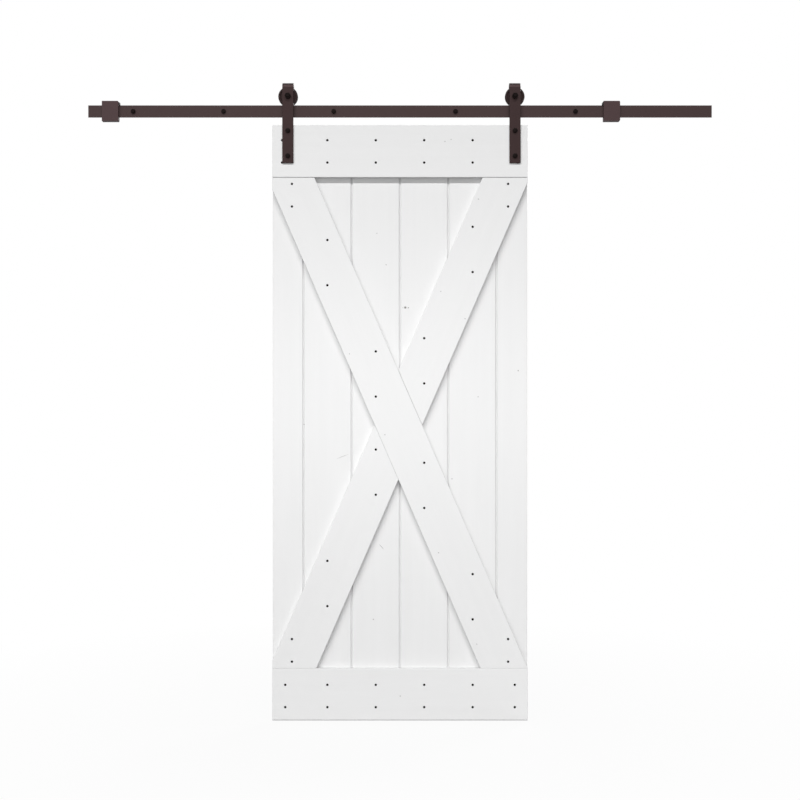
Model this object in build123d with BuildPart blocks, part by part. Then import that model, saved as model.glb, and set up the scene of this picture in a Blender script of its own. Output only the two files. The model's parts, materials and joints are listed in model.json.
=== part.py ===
# Sliding barn door: an X-braced plank leaf that hangs by two bent straps and grooved wheels
# from a flat wall track. Sizes are in millimetres. +X points right, +Z up, and the front faces -Y.
# The origin is the middle of the floor guide groove's mouth, under the leaf.
import os
from itertools import accumulate
from math import asin, atan2, degrees, hypot, radians, tan

from build123d import *

os.makedirs("parts", exist_ok=True)

# Leaf boards
leaf_width = 914.4
leaf_height = 2133.6
plank_thickness = 16
side_plank_width = 110.2
plank_count = 6
joint_bevel = 5
back_bevel = 1.5
tongue_thickness = 5
tongue_length = 6
tongue_gap = 0.2
frame_thickness = 19
rail_height = 187
brace_width = 156
brace_drop = 24
long_brace_shift = -9
short_brace_shift = -2
edge_ease = 1

# Groove along the leaf's bottom edge for a floor guide
guide_width = 10
guide_depth = 16

# Countersunk wood screws
screw_head = 8.5
screw_shank = 4
screw_length = 30
screw_point = 5
screw_tip = 0.5
screw_sink = 0.4
screw_gap = 0.1
drive_span = 4.6
drive_width = 1.2
drive_depth = 1.6
rail_screw_rows = 80
top_screw_edge = 54.5
bottom_screw_edge = 48
top_screw_inset = 35
bottom_screw_inset = 46
brace_screw_spread = 162
long_brace_screw_lift = -4
short_brace_screw_lift = 18
brace_end_inset = 70
brace_end_edge = 24
brace_end_spread = 81

# Track and its wall fixings
track_length = 2238
track_height = 43
track_thickness = 6
track_above_leaf = 29.4
track_ease = 0.5
first_lag_inset = 161.3
lag_steps = (324.5, 395.5, 437.1, 430.6)
lag_shank = 8
lag_root = 6.2
lag_hole = 9
lag_length = 90
lag_point = 8
lag_tip = 1
lag_head_flats = 13
lag_head_height = 5.3
lag_washer = 17
lag_washer_thickness = 1.6
standoff_diameter = 22
standoff_length = 35

# Straps bent over the wheels
left_hanger_inset = 55.7
right_hanger_inset = 45.4
strap_width = 40
strap_thickness = 6
leg_gap = 25
strap_lap = 136.8
strap_rise = 49.2
back_leg_drop = 25
back_leg_round = 8
strap_corner = 2
strap_ease = 1
strap_bolt_edge = 20.8
strap_bolt_pitch = 90.4

# Hexagon heads and bolt ends
turned_slope = 0.5
bolt_end_bevel = 1

# Through bolts of the straps
strap_bolt = 10
strap_bolt_hole = 10.6
strap_bolt_flats = 16
strap_bolt_head = 6.4
strap_nut_height = 8.4
strap_washer = 20
strap_washer_thickness = 2
strap_bolt_end = 2.6

# Wheels
wheel_diameter = 70
wheel_width = 22
wheel_bevel = 3
groove_depth = 4.6
groove_width = 8
groove_flare = 0.8
wheel_gap = 0.2
dish_inner = 36
dish_outer = 56
dish_depth = 2.5
dish_slope = 1.5
shoulder_bore = 24

# Ball bearings
bearing_outer = 28
bearing_width = 8
inner_shoulder = 17
outer_shoulder = 23
ball_diameter = 4.76
ball_circle = 20
ball_count = 8
ball_gap = 0.03
cage_inner = 18.6
cage_outer = 21.4
cage_width = 6
seal_outer = 24.5
seal_thickness = 0.6
seal_gap = 0.1
seal_lip_gap = 0.15

# Retaining rings
ring_thickness = 1.2
ring_inner = 23.6
ring_groove = 29.4
ring_gap = 0.1
ring_opening = 8
lug_diameter = 4
lug_hole = 1.6
lug_circle = 22.8
lug_spread = 52

# Axles
axle_diameter = 12
axle_slip = 0.05
axle_hole = 12.4
axle_flats = 19
axle_head = 7.5
axle_nut_height = 10.8
axle_end = 3
sleeve_outer = 16

# Stops and bumpers
left_stop_inset = 80
right_stop_inset = 359.7
stop_width = 59
stop_height = 72
stop_wall = 9
stop_slot_gap = 0.2
stop_round = 4
stop_ease = 0.6
stop_screw = 8
stop_screw_slip = 0.05
stop_screw_pitch = 30
stop_screw_socket = 4
stop_socket_depth = 4
bumper_depth = 3
bumper_proud = 4
bumper_height = 8.5
bumper_width = 20
bumper_floor = 1.5
bumper_round = 1.5

# Levels and lines worked out from the sizes above
leaf_front = -(plank_thickness + frame_thickness) / 2
leaf_back = -leaf_front
board_seat = leaf_front + frame_thickness
leaf_side = leaf_width / 2
opening_bottom = rail_height
opening_top = leaf_height - rail_height
opening_height = opening_top - opening_bottom
opening_middle = (opening_top + opening_bottom) / 2
strap_front = leaf_front - strap_thickness
wheel_line = leaf_front + leg_gap / 2
track_bottom = leaf_height + track_above_leaf
track_top = track_bottom + track_height
track_middle = track_bottom + track_height / 2
track_front = wheel_line - track_thickness / 2
track_back = wheel_line + track_thickness / 2
tread_radius = wheel_diameter / 2 - groove_depth
axle_height = track_top + wheel_gap + tread_radius
bend_inner = leg_gap / 2
bend_outer = bend_inner + strap_thickness
bend_height = axle_height + strap_rise - bend_outer
strap_foot = leaf_height - strap_lap
strap_heel = axle_height - back_leg_drop
washer_front = track_front - lag_washer_thickness
wall_depth = lag_washer_thickness + track_thickness + standoff_length

# Places along the door and the track, from their ends
hanger_places = (-leaf_side + left_hanger_inset, leaf_side - right_hanger_inset)
stop_places = (-track_length / 2 + left_stop_inset, track_length / 2 - right_stop_inset)
lag_places = list(accumulate(lag_steps, initial=-track_length / 2 + first_lag_inset))

# The braces lean so that each one's outer edge meets the leaf's side just below the rail
corner_reach = hypot(leaf_side, opening_height / 2 - brace_drop)
brace_lean = degrees(atan2(leaf_side, opening_height / 2 - brace_drop) - asin(brace_width / 2 / corner_reach))
brace_reach = hypot(leaf_width, opening_height)
lean_slope = tan(radians(brace_lean))

# The middle planks share the width that the side planks leave
plank_cover = (leaf_width - 2 * side_plank_width) / (plank_count - 2)
joints = [(i - plank_count / 2) * plank_cover for i in range(1, plank_count)]
plank_sides = [-leaf_side] + joints + [leaf_side]
plank_middles = [(left + right) / 2 for left, right in zip(plank_sides, plank_sides[1:])]
sides = (("left", hanger_places[0]), ("right", hanger_places[1]))


def facing(x, depth, height):
    """A place whose own Z points out of the front of the door."""
    return Location((x, depth, height), (90, 0, 0))


def backing(x, depth, height):
    """A place whose own Z points out of the back of the door."""
    return Location((x, depth, height), (-90, 0, 0))


def front_plane(depth):
    """The upright plane at a depth, seen from the front."""
    return Plane.XZ.offset(-depth)


def wheel_plane(x):
    """The plane through a wheel's axis, with its own X across the axis and its own Y along it."""
    return Plane(origin=(x, wheel_line, axle_height))


def wheel_axis(x):
    return Axis((x, wheel_line, axle_height), (0, 1, 0))


# Places of the screws, as (x, height)
def rail_screw_places(inset, heights):
    across = [-leaf_side + inset] + plank_middles[1:-1] + [leaf_side - inset]
    return [(x, height) for x in across for height in heights]


def brace_screw_places(lean_sign, shift, lift):
    """Two screws in each plank: along the brace in the middle, near its ends in the side planks."""
    places = []
    for x in plank_middles[1:-1]:
        middle = opening_middle - lean_sign * (x - shift) / lean_slope + lift
        places.append((x, middle + brace_screw_spread / 2))
        places.append((x, middle - brace_screw_spread / 2))
    for end_sign in (1, -1):
        x = -lean_sign * end_sign * (leaf_side - brace_end_inset)
        for edge in (brace_end_edge, brace_end_edge + brace_end_spread):
            places.append((x, opening_middle + end_sign * (opening_height / 2 - edge)))
    return places


top_screws = rail_screw_places(
    top_screw_inset, (leaf_height - top_screw_edge, leaf_height - top_screw_edge - rail_screw_rows)
)
bottom_screws = rail_screw_places(
    bottom_screw_inset, (bottom_screw_edge, bottom_screw_edge + rail_screw_rows)
)
long_screws = brace_screw_places(1, long_brace_shift, long_brace_screw_lift)
short_screws = brace_screw_places(-1, short_brace_shift, short_brace_screw_lift)
strap_bolt_heights = (leaf_height - strap_bolt_edge, leaf_height - strap_bolt_edge - strap_bolt_pitch)
strap_bolt_places = [(x, height) for x in hanger_places for height in strap_bolt_heights]


# Cuts shared by the boards
def cut_pilot_holes(places):
    """Blind holes for the screws' shanks, from the face that the frame boards lie on."""
    depth = screw_length + screw_sink - frame_thickness + screw_gap
    with Locations(*[facing(x, board_seat, height) for x, height in places]):
        Hole(radius=screw_shank / 2 + screw_gap, depth=depth)


def cut_screw_holes(places):
    """Countersunk holes through a frame board."""
    with Locations(*[facing(x, leaf_front, height) for x, height in places]):
        CounterSinkHole(
            radius=screw_shank / 2 + screw_gap,
            counter_sink_radius=screw_head / 2 + screw_sink + screw_gap,
            counter_sink_angle=90,
        )


def cut_strap_bolt_holes(depth, places):
    with Locations(*[facing(x, depth, height) for x, height in places]):
        Hole(radius=strap_bolt_hole / 2)


def cut_guide_groove():
    Box(2 * leaf_width, guide_width, 2 * guide_depth, mode=Mode.SUBTRACT)


def plank_outline(left, right, joint_left, joint_right):
    """A board's section, seen from above: a groove on its left, a tongue on its right."""
    cut_left = joint_bevel if joint_left else edge_ease
    cut_right = joint_bevel if joint_right else edge_ease
    middle = (board_seat + leaf_back) / 2
    slot = tongue_thickness / 2 + tongue_gap
    points = [(left, board_seat + cut_left), (left + cut_left, board_seat)]
    points += [(right - cut_right, board_seat), (right, board_seat + cut_right)]
    if joint_right:
        tip = right + tongue_length
        near = middle - tongue_thickness / 2
        far = middle + tongue_thickness / 2
        points += [(right, near), (tip, near), (tip, far), (right, far)]
    points += [(right, leaf_back - back_bevel), (right - back_bevel, leaf_back)]
    points += [(left + back_bevel, leaf_back), (left, leaf_back - back_bevel)]
    if joint_left:
        root = left + tongue_length + tongue_gap
        points += [(left, middle + slot), (root, middle + slot), (root, middle - slot), (left, middle - slot)]
    return points


# Planks
for number in range(plank_count):
    plank_left = plank_sides[number]
    plank_right = plank_sides[number + 1]
    outline = plank_outline(plank_left, plank_right, number > 0, number < plank_count - 1)
    all_screws = top_screws + bottom_screws + long_screws + short_screws
    own_screws = [place for place in all_screws if plank_left < place[0] < plank_right]
    own_bolts = [place for place in strap_bolt_places if plank_left < place[0] < plank_right]
    with BuildPart() as plank:
        with BuildSketch():
            with BuildLine():
                Polyline(*outline, close=True)
            make_face()
        extrude(amount=leaf_height)
        cut_pilot_holes(own_screws)
        if own_bolts:
            cut_strap_bolt_holes(board_seat, own_bolts)
        cut_guide_groove()
    plank.part.label = f"plank_{number + 1}"
    export_step(plank.part, f"parts/plank_{number + 1}.step")

# Rails
with BuildPart() as top_rail:
    with BuildSketch(front_plane(board_seat)):
        with Locations((0, leaf_height - rail_height / 2)):
            Rectangle(leaf_width, rail_height)
    extrude(amount=frame_thickness)
    chamfer(top_rail.faces().sort_by(Axis.Y)[0].edges(), length=edge_ease)
    cut_screw_holes(top_screws)
    cut_strap_bolt_holes(leaf_front, strap_bolt_places)
top_rail.part.label = "top_rail"
export_step(top_rail.part, "parts/top_rail.step")

with BuildPart() as bottom_rail:
    with BuildSketch(front_plane(board_seat)):
        with Locations((0, rail_height / 2)):
            Rectangle(leaf_width, rail_height)
    extrude(amount=frame_thickness)
    chamfer(bottom_rail.faces().sort_by(Axis.Y)[0].edges(), length=edge_ease)
    cut_screw_holes(bottom_screws)
    cut_guide_groove()
bottom_rail.part.label = "bottom_rail"
export_step(bottom_rail.part, "parts/bottom_rail.step")

# Braces, cut square by the opening between the rails
with BuildPart() as long_brace:
    with BuildSketch(front_plane(board_seat)):
        with Locations((long_brace_shift, opening_middle)):
            Rectangle(brace_width, brace_reach, rotation=brace_lean)
        with Locations((0, opening_middle)):
            Rectangle(leaf_width, opening_height, mode=Mode.INTERSECT)
    extrude(amount=frame_thickness)
    chamfer(long_brace.faces().sort_by(Axis.Y)[0].edges(), length=edge_ease)
    cut_screw_holes(long_screws)
long_brace.part.label = "long_brace"
export_step(long_brace.part, "parts/long_brace.step")


def short_brace_sketch():
    """The other brace's outline, cut away where the long brace crosses it."""
    with Locations((short_brace_shift, opening_middle)):
        Rectangle(brace_width, brace_reach, rotation=-brace_lean)
    with Locations((0, opening_middle)):
        Rectangle(leaf_width, opening_height, mode=Mode.INTERSECT)
    with Locations((long_brace_shift, opening_middle)):
        Rectangle(brace_width, brace_reach, rotation=brace_lean, mode=Mode.SUBTRACT)


crossing_height = opening_middle + (long_brace_shift - short_brace_shift) / (2 * lean_slope)
upper_screws = [place for place in short_screws if place[1] > crossing_height]
lower_screws = [place for place in short_screws if place[1] < crossing_height]

with BuildPart() as upper_short_brace:
    with BuildSketch(front_plane(board_seat)):
        short_brace_sketch()
        with Locations((0, crossing_height)):
            Rectangle(leaf_width, opening_height, align=(Align.CENTER, Align.MIN), mode=Mode.INTERSECT)
    extrude(amount=frame_thickness)
    chamfer(upper_short_brace.faces().sort_by(Axis.Y)[0].edges(), length=edge_ease)
    cut_screw_holes(upper_screws)
upper_short_brace.part.label = "upper_short_brace"
export_step(upper_short_brace.part, "parts/upper_short_brace.step")

with BuildPart() as lower_short_brace:
    with BuildSketch(front_plane(board_seat)):
        short_brace_sketch()
        with Locations((0, crossing_height)):
            Rectangle(leaf_width, opening_height, align=(Align.CENTER, Align.MAX), mode=Mode.INTERSECT)
    extrude(amount=frame_thickness)
    chamfer(lower_short_brace.faces().sort_by(Axis.Y)[0].edges(), length=edge_ease)
    cut_screw_holes(lower_screws)
lower_short_brace.part.label = "lower_short_brace"
export_step(lower_short_brace.part, "parts/lower_short_brace.step")

# Countersunk wood screws with a cross recess, sunk just below the face
head_depth = (screw_head - screw_shank) / 2
above_tip = (Align.CENTER, Align.CENTER, Align.MAX)
screw_groups = (
    ("top_rail_screws", top_screws),
    ("bottom_rail_screws", bottom_screws),
    ("brace_screws", long_screws + short_screws),
)
for name, places in screw_groups:
    with BuildPart() as screws:
        with Locations(*[facing(x, leaf_front + screw_sink, height) for x, height in places]):
            Cone(screw_shank / 2, screw_head / 2, head_depth, align=above_tip)
            Cylinder(screw_shank / 2, screw_length - screw_point, align=above_tip)
            with Locations((0, 0, screw_point - screw_length)):
                Cone(screw_tip / 2, screw_shank / 2, screw_point, align=above_tip)
            Box(drive_span, drive_width, 2 * drive_depth, mode=Mode.SUBTRACT)
            Box(drive_width, drive_span, 2 * drive_depth, mode=Mode.SUBTRACT)
    screws.part.label = name
    export_step(screws.part, f"parts/{name}.step")


# Hexagon shapes, with Z along the thread and the head or nut above Z = 0
def hexagon_block(flats, height):
    """A hexagon with the edges of its outer face turned down to a circle."""
    with BuildPart() as block:
        with BuildSketch():
            RegularPolygon(flats / 2, 6, major_radius=False)
        extrude(amount=height)
        Cone(
            flats / 2 + height / turned_slope,
            flats / 2,
            height,
            align=(Align.CENTER, Align.CENTER, Align.MIN),
            mode=Mode.INTERSECT,
        )
    return block.part


def hexagon_bolt(flats, head_height, shank, length):
    with BuildPart() as bolt:
        add(hexagon_block(flats, head_height))
        Cylinder(shank / 2, length, align=(Align.CENTER, Align.CENTER, Align.MAX))
        chamfer(bolt.edges().sort_by(Axis.Z)[0], length=bolt_end_bevel)
    return bolt.part


def lag_bolt():
    """A plain shank through the standoff, then the thread's root, then a point."""
    below = (Align.CENTER, Align.CENTER, Align.MAX)
    with BuildPart() as bolt:
        add(hexagon_block(lag_head_flats, lag_head_height))
        Cylinder(lag_shank / 2, wall_depth, align=below)
        Cylinder(lag_root / 2, lag_length - lag_point, align=below)
        with Locations((0, 0, lag_point - lag_length)):
            Cone(lag_tip / 2, lag_root / 2, lag_point, align=below)
    return bolt.part


def hexagon_nut(flats, height, bore):
    with BuildPart() as nut:
        add(hexagon_block(flats, height))
        Cylinder(bore / 2, 3 * height, mode=Mode.SUBTRACT)
    return nut.part


def collar(outer, inner, length):
    """A washer, spacer or standoff that stands on Z = 0."""
    with BuildPart() as ring:
        with BuildSketch():
            Circle(outer / 2)
            Circle(inner / 2, mode=Mode.SUBTRACT)
        extrude(amount=length)
    return ring.part


# Track and its wall fixings
with BuildPart() as track:
    with BuildSketch(front_plane(track_back)):
        with Locations((0, track_middle)):
            Rectangle(track_length, track_height)
    extrude(amount=track_thickness)
    chamfer(track.faces().sort_by(Axis.Y)[0].edges(), length=track_ease)
    chamfer(track.faces().sort_by(Axis.Y)[-1].edges(), length=track_ease)
    with Locations(*[facing(x, track_front, track_middle) for x in lag_places]):
        Hole(radius=lag_hole / 2)
track.part.label = "track"
export_step(track.part, "parts/track.step")

standoff_shape = collar(standoff_diameter, lag_hole, standoff_length)
with BuildPart() as standoffs:
    with Locations(*[backing(x, track_back, track_middle) for x in lag_places]):
        add(standoff_shape)
standoffs.part.label = "standoffs"
export_step(standoffs.part, "parts/standoffs.step")

lag_washer_shape = collar(lag_washer, lag_hole, lag_washer_thickness)
with BuildPart() as lag_washers:
    with Locations(*[facing(x, track_front, track_middle) for x in lag_places]):
        add(lag_washer_shape)
lag_washers.part.label = "lag_washers"
export_step(lag_washers.part, "parts/lag_washers.step")

lag_shape = lag_bolt()
with BuildPart() as lag_bolts:
    with Locations(*[facing(x, washer_front, track_middle) for x in lag_places]):
        add(lag_shape)
lag_bolts.part.label = "lag_bolts"
export_step(lag_bolts.part, "parts/lag_bolts.step")

# Stops: blocks slotted from below that sit over the track, with a rubber pad towards the leaf
stop_front = track_front - stop_slot_gap - stop_wall
stop_back = track_back + stop_slot_gap + stop_wall
stop_screw_places = [x + side * stop_screw_pitch / 2 for x in stop_places for side in (-1, 1)]
bumper_middle = track_top + bumper_floor + bumper_height / 2
slot_floor = track_middle - stop_height
pad_length = bumper_depth + bumper_proud
stop_sides = (("left", stop_places[0], 1), ("right", stop_places[1], -1))

for side, stop_x, inward in stop_sides:
    pad_inner = stop_x + inward * (stop_width / 2 - bumper_depth)
    with BuildPart() as stop:
        with BuildSketch(front_plane(stop_back)) as stop_face:
            with Locations((stop_x, track_middle)):
                Rectangle(stop_width, stop_height)
            fillet(stop_face.vertices().group_by(Axis.X)[-1], radius=stop_round)
        extrude(amount=stop_back - stop_front)
        chamfer(stop.faces().sort_by(Axis.Y)[0].edges(), length=stop_ease)
        with BuildSketch(Plane.YZ.offset(stop_x - stop_width)):
            with Locations((wheel_line, (track_top + slot_floor) / 2)):
                Rectangle(track_thickness + 2 * stop_slot_gap, track_top - slot_floor)
        extrude(amount=2 * stop_width, mode=Mode.SUBTRACT)
        with Locations(*[backing(x, stop_back, track_middle) for x in stop_screw_places]):
            Hole(radius=stop_screw / 2 + stop_screw_slip, depth=stop_wall + stop_slot_gap)
        with BuildSketch(Plane.YZ.offset(pad_inner)):
            with Locations((wheel_line, bumper_middle)):
                Rectangle(bumper_width, bumper_height)
        extrude(amount=inward * stop_width, mode=Mode.SUBTRACT)
    stop.part.label = f"{side}_stop"
    export_step(stop.part, f"parts/{side}_stop.step")

    with BuildPart() as bumper:
        with BuildSketch(Plane.YZ.offset(pad_inner)):
            with Locations((wheel_line, bumper_middle)):
                Rectangle(bumper_width, bumper_height)
        extrude(amount=inward * pad_length)
        outer_face = bumper.faces().sort_by(Axis.X)[-1 if inward > 0 else 0]
        fillet(outer_face.edges(), radius=bumper_round)
    bumper.part.label = f"{side}_bumper"
    export_step(bumper.part, f"parts/{side}_bumper.step")

with BuildPart() as stop_screws:
    with Locations(*[facing(x, track_back, track_middle) for x in stop_screw_places]):
        Cylinder(
            stop_screw / 2,
            stop_back - track_back,
            align=(Align.CENTER, Align.CENTER, Align.MAX),
        )
    with BuildSketch(front_plane(stop_back)):
        with Locations(*[(x, track_middle) for x in stop_screw_places]):
            RegularPolygon(stop_screw_socket / 2, 6, major_radius=False)
    extrude(amount=stop_socket_depth, mode=Mode.SUBTRACT)
stop_screws.part.label = "stop_screws"
export_step(stop_screws.part, "parts/stop_screws.step")


def wheel_outline():
    """Half of a wheel's section: each point is across the axis, then along it."""
    half = wheel_width / 2
    rim = wheel_diameter / 2
    seat = bearing_outer / 2
    groove = groove_width / 2
    dish_floor = half - dish_depth
    near_hub = dish_inner / 2 + dish_slope
    near_rim = dish_outer / 2 - dish_slope
    stop_face = bearing_width / 2
    ring_face = stop_face + ring_thickness + ring_gap
    points = [(seat, -half), (dish_inner / 2, -half), (near_hub, -dish_floor)]
    points += [(near_rim, -dish_floor), (dish_outer / 2, -half), (rim - wheel_bevel, -half)]
    points += [(rim, wheel_bevel - half), (rim, -groove - groove_flare)]
    points += [(tread_radius, -groove), (tread_radius, groove)]
    points += [(rim, groove + groove_flare), (rim, half - wheel_bevel)]
    points += [(rim - wheel_bevel, half), (dish_outer / 2, half), (near_rim, dish_floor)]
    points += [(near_hub, dish_floor), (dish_inner / 2, half), (shoulder_bore / 2, half)]
    points += [(shoulder_bore / 2, stop_face), (seat, stop_face), (seat, -stop_face)]
    points += [(ring_groove / 2, -stop_face), (ring_groove / 2, -ring_face), (seat, -ring_face)]
    return points


for side, hanger_x in sides:
    axis = wheel_axis(hanger_x)

    with BuildPart() as strap:
        with BuildSketch(Plane.YZ.offset(hanger_x - strap_width / 2)):
            with BuildLine():
                Line((wheel_line - bend_outer, bend_height), (wheel_line - bend_outer, strap_foot))
                Line((wheel_line - bend_outer, strap_foot), (wheel_line - bend_inner, strap_foot))
                Line((wheel_line - bend_inner, strap_foot), (wheel_line - bend_inner, bend_height))
                CenterArc((wheel_line, bend_height), bend_inner, 180, -180)
                Line((wheel_line + bend_inner, bend_height), (wheel_line + bend_inner, strap_heel))
                Line((wheel_line + bend_inner, strap_heel), (wheel_line + bend_outer, strap_heel))
                Line((wheel_line + bend_outer, strap_heel), (wheel_line + bend_outer, bend_height))
                CenterArc((wheel_line, bend_height), bend_outer, 0, 180)
            make_face()
        extrude(amount=strap_width)
        upright = strap.edges().filter_by(Axis.Y)
        fillet(upright.group_by(Axis.Z)[0], radius=strap_corner)
        heel_edges = upright.filter_by(lambda edge: edge.center().Y > wheel_line)
        fillet(heel_edges, radius=back_leg_round)
        front_face = strap.faces().filter_by(Axis.Y).sort_by(Axis.Y)[0]
        long_edges = front_face.edges().filter_by(Axis.Z)
        chamfer(long_edges, length=strap_ease)
        with Locations(*[facing(hanger_x, strap_front, height) for height in strap_bolt_heights]):
            Hole(radius=strap_bolt_hole / 2, depth=strap_thickness)
        with Locations(facing(hanger_x, strap_front, axle_height)):
            Hole(radius=axle_hole / 2)
    strap.part.label = f"{side}_strap"
    export_step(strap.part, f"parts/{side}_strap.step")

    # Through bolts, with their washers and nuts behind the leaf
    bolt_reach = strap_thickness + leaf_back - leaf_front
    bolt_reach += strap_washer_thickness + strap_nut_height + strap_bolt_end
    strap_bolt_shape = hexagon_bolt(strap_bolt_flats, strap_bolt_head, strap_bolt, bolt_reach)
    strap_washer_shape = collar(strap_washer, strap_bolt_hole, strap_washer_thickness)
    strap_nut_shape = hexagon_nut(strap_bolt_flats, strap_nut_height, strap_bolt)
    with BuildPart() as strap_bolts:
        with Locations(*[facing(hanger_x, strap_front, height) for height in strap_bolt_heights]):
            add(strap_bolt_shape)
    strap_bolts.part.label = f"{side}_strap_bolts"
    export_step(strap_bolts.part, f"parts/{side}_strap_bolts.step")

    with BuildPart() as strap_washers:
        with Locations(*[backing(hanger_x, leaf_back, height) for height in strap_bolt_heights]):
            add(strap_washer_shape)
    strap_washers.part.label = f"{side}_strap_washers"
    export_step(strap_washers.part, f"parts/{side}_strap_washers.step")

    nut_seat = leaf_back + strap_washer_thickness
    with BuildPart() as strap_nuts:
        with Locations(*[backing(hanger_x, nut_seat, height) for height in strap_bolt_heights]):
            add(strap_nut_shape)
    strap_nuts.part.label = f"{side}_strap_nuts"
    export_step(strap_nuts.part, f"parts/{side}_strap_nuts.step")

    # Axle: its head behind the back leg, its nut in front
    axle_reach = leg_gap + 2 * strap_thickness + axle_nut_height + axle_end
    axle_shape = hexagon_bolt(axle_flats, axle_head, axle_diameter, axle_reach)
    with BuildPart() as axle_bolt:
        with Locations(backing(hanger_x, strap_front + leg_gap + 2 * strap_thickness, axle_height)):
            add(axle_shape)
    axle_bolt.part.label = f"{side}_axle_bolt"
    export_step(axle_bolt.part, f"parts/{side}_axle_bolt.step")

    axle_nut_shape = hexagon_nut(axle_flats, axle_nut_height, axle_diameter)
    with BuildPart() as axle_nut:
        with Locations(facing(hanger_x, strap_front, axle_height)):
            add(axle_nut_shape)
    axle_nut.part.label = f"{side}_axle_nut"
    export_step(axle_nut.part, f"parts/{side}_axle_nut.step")

    sleeve_shape = collar(sleeve_outer, axle_diameter + 2 * axle_slip, (leg_gap - bearing_width) / 2)
    with BuildPart() as axle_sleeves:
        with Locations(backing(hanger_x, wheel_line + bearing_width / 2, axle_height)):
            add(sleeve_shape)
        with Locations(facing(hanger_x, wheel_line - bearing_width / 2, axle_height)):
            add(sleeve_shape)
    axle_sleeves.part.label = f"{side}_axle_sleeves"
    export_step(axle_sleeves.part, f"parts/{side}_axle_sleeves.step")

    with BuildPart() as wheel:
        with BuildSketch(wheel_plane(hanger_x)):
            with BuildLine():
                Polyline(*wheel_outline(), close=True)
            make_face()
        revolve(axis=axis)
    wheel.part.label = f"{side}_wheel"
    export_step(wheel.part, f"parts/{side}_wheel.step")

    # Bearing: the ball track is cut into both races
    inner_bore = axle_diameter / 2 + axle_slip
    seal_rebate = seal_thickness + 2 * seal_gap
    with BuildPart() as inner_race:
        with BuildSketch(wheel_plane(hanger_x)):
            with Locations(((inner_bore + inner_shoulder / 2) / 2, 0)):
                Rectangle(inner_shoulder / 2 - inner_bore, bearing_width)
            with Locations((ball_circle / 2, 0)):
                Circle(ball_diameter / 2 + ball_gap, mode=Mode.SUBTRACT)
        revolve(axis=axis)
    inner_race.part.label = f"{side}_inner_race"
    export_step(inner_race.part, f"parts/{side}_inner_race.step")

    with BuildPart() as outer_race:
        with BuildSketch(wheel_plane(hanger_x)):
            with Locations(((bearing_outer + outer_shoulder) / 4, 0)):
                Rectangle((bearing_outer - outer_shoulder) / 2, bearing_width)
            with Locations((ball_circle / 2, 0)):
                Circle(ball_diameter / 2 + ball_gap, mode=Mode.SUBTRACT)
            rebate_reach = seal_outer / 2 + seal_gap
            rebate_middle = (bearing_width - seal_rebate) / 2
            with Locations((rebate_reach / 2, rebate_middle), (rebate_reach / 2, -rebate_middle)):
                Rectangle(rebate_reach, seal_rebate, mode=Mode.SUBTRACT)
        revolve(axis=axis)
    outer_race.part.label = f"{side}_outer_race"
    export_step(outer_race.part, f"parts/{side}_outer_race.step")

    with BuildPart() as bearing_balls:
        with Locations(facing(hanger_x, wheel_line, axle_height)):
            with PolarLocations(ball_circle / 2, ball_count):
                Sphere(ball_diameter / 2)
    bearing_balls.part.label = f"{side}_bearing_balls"
    export_step(bearing_balls.part, f"parts/{side}_bearing_balls.step")

    with BuildPart() as ball_cage:
        with BuildSketch(wheel_plane(hanger_x)):
            with Locations(((cage_inner + cage_outer) / 4, 0)):
                Rectangle((cage_outer - cage_inner) / 2, cage_width)
        revolve(axis=axis)
        with Locations(facing(hanger_x, wheel_line, axle_height)):
            with PolarLocations(ball_circle / 2, ball_count):
                Cylinder(ball_diameter / 2 + ball_gap, ball_diameter, rotation=(0, 90, 0), mode=Mode.SUBTRACT)
    ball_cage.part.label = f"{side}_ball_cage"
    export_step(ball_cage.part, f"parts/{side}_ball_cage.step")

    seal_face = bearing_width / 2 - seal_gap
    seal_shape = collar(seal_outer, inner_shoulder + 2 * seal_lip_gap, seal_thickness)
    with BuildPart() as bearing_seals:
        with Locations(backing(hanger_x, wheel_line + seal_face - seal_thickness, axle_height)):
            add(seal_shape)
        with Locations(facing(hanger_x, wheel_line - seal_face + seal_thickness, axle_height)):
            add(seal_shape)
    bearing_seals.part.label = f"{side}_bearing_seals"
    export_step(bearing_seals.part, f"parts/{side}_bearing_seals.step")

    with BuildPart() as retaining_ring:
        with BuildSketch(Plane(facing(hanger_x, wheel_line - bearing_width / 2, axle_height))):
            Circle(ring_groove / 2 - ring_gap)
            Circle(ring_inner / 2, mode=Mode.SUBTRACT)
            with Locations((0, -ring_groove / 2)):
                Rectangle(ring_opening, ring_groove, mode=Mode.SUBTRACT)
            with PolarLocations(lug_circle / 2, 2, 270 - lug_spread / 2, 2 * lug_spread):
                Circle(lug_diameter / 2)
                Circle(lug_hole / 2, mode=Mode.SUBTRACT)
        extrude(amount=ring_thickness)
    retaining_ring.part.label = f"{side}_retaining_ring"
    export_step(retaining_ring.part, f"parts/{side}_retaining_ring.step")
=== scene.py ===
"""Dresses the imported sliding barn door: painted boards, bronze hardware, threads and a studio.

Lengths are in metres. +X points right, +Z up, and the door's front faces -Y.
"""
import json
from collections import namedtuple
from itertools import accumulate
from math import cos, pi, radians

import bpy
from bpy.props import FloatProperty, FloatVectorProperty, IntProperty, PointerProperty
from mathutils import Matrix, Vector

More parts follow.
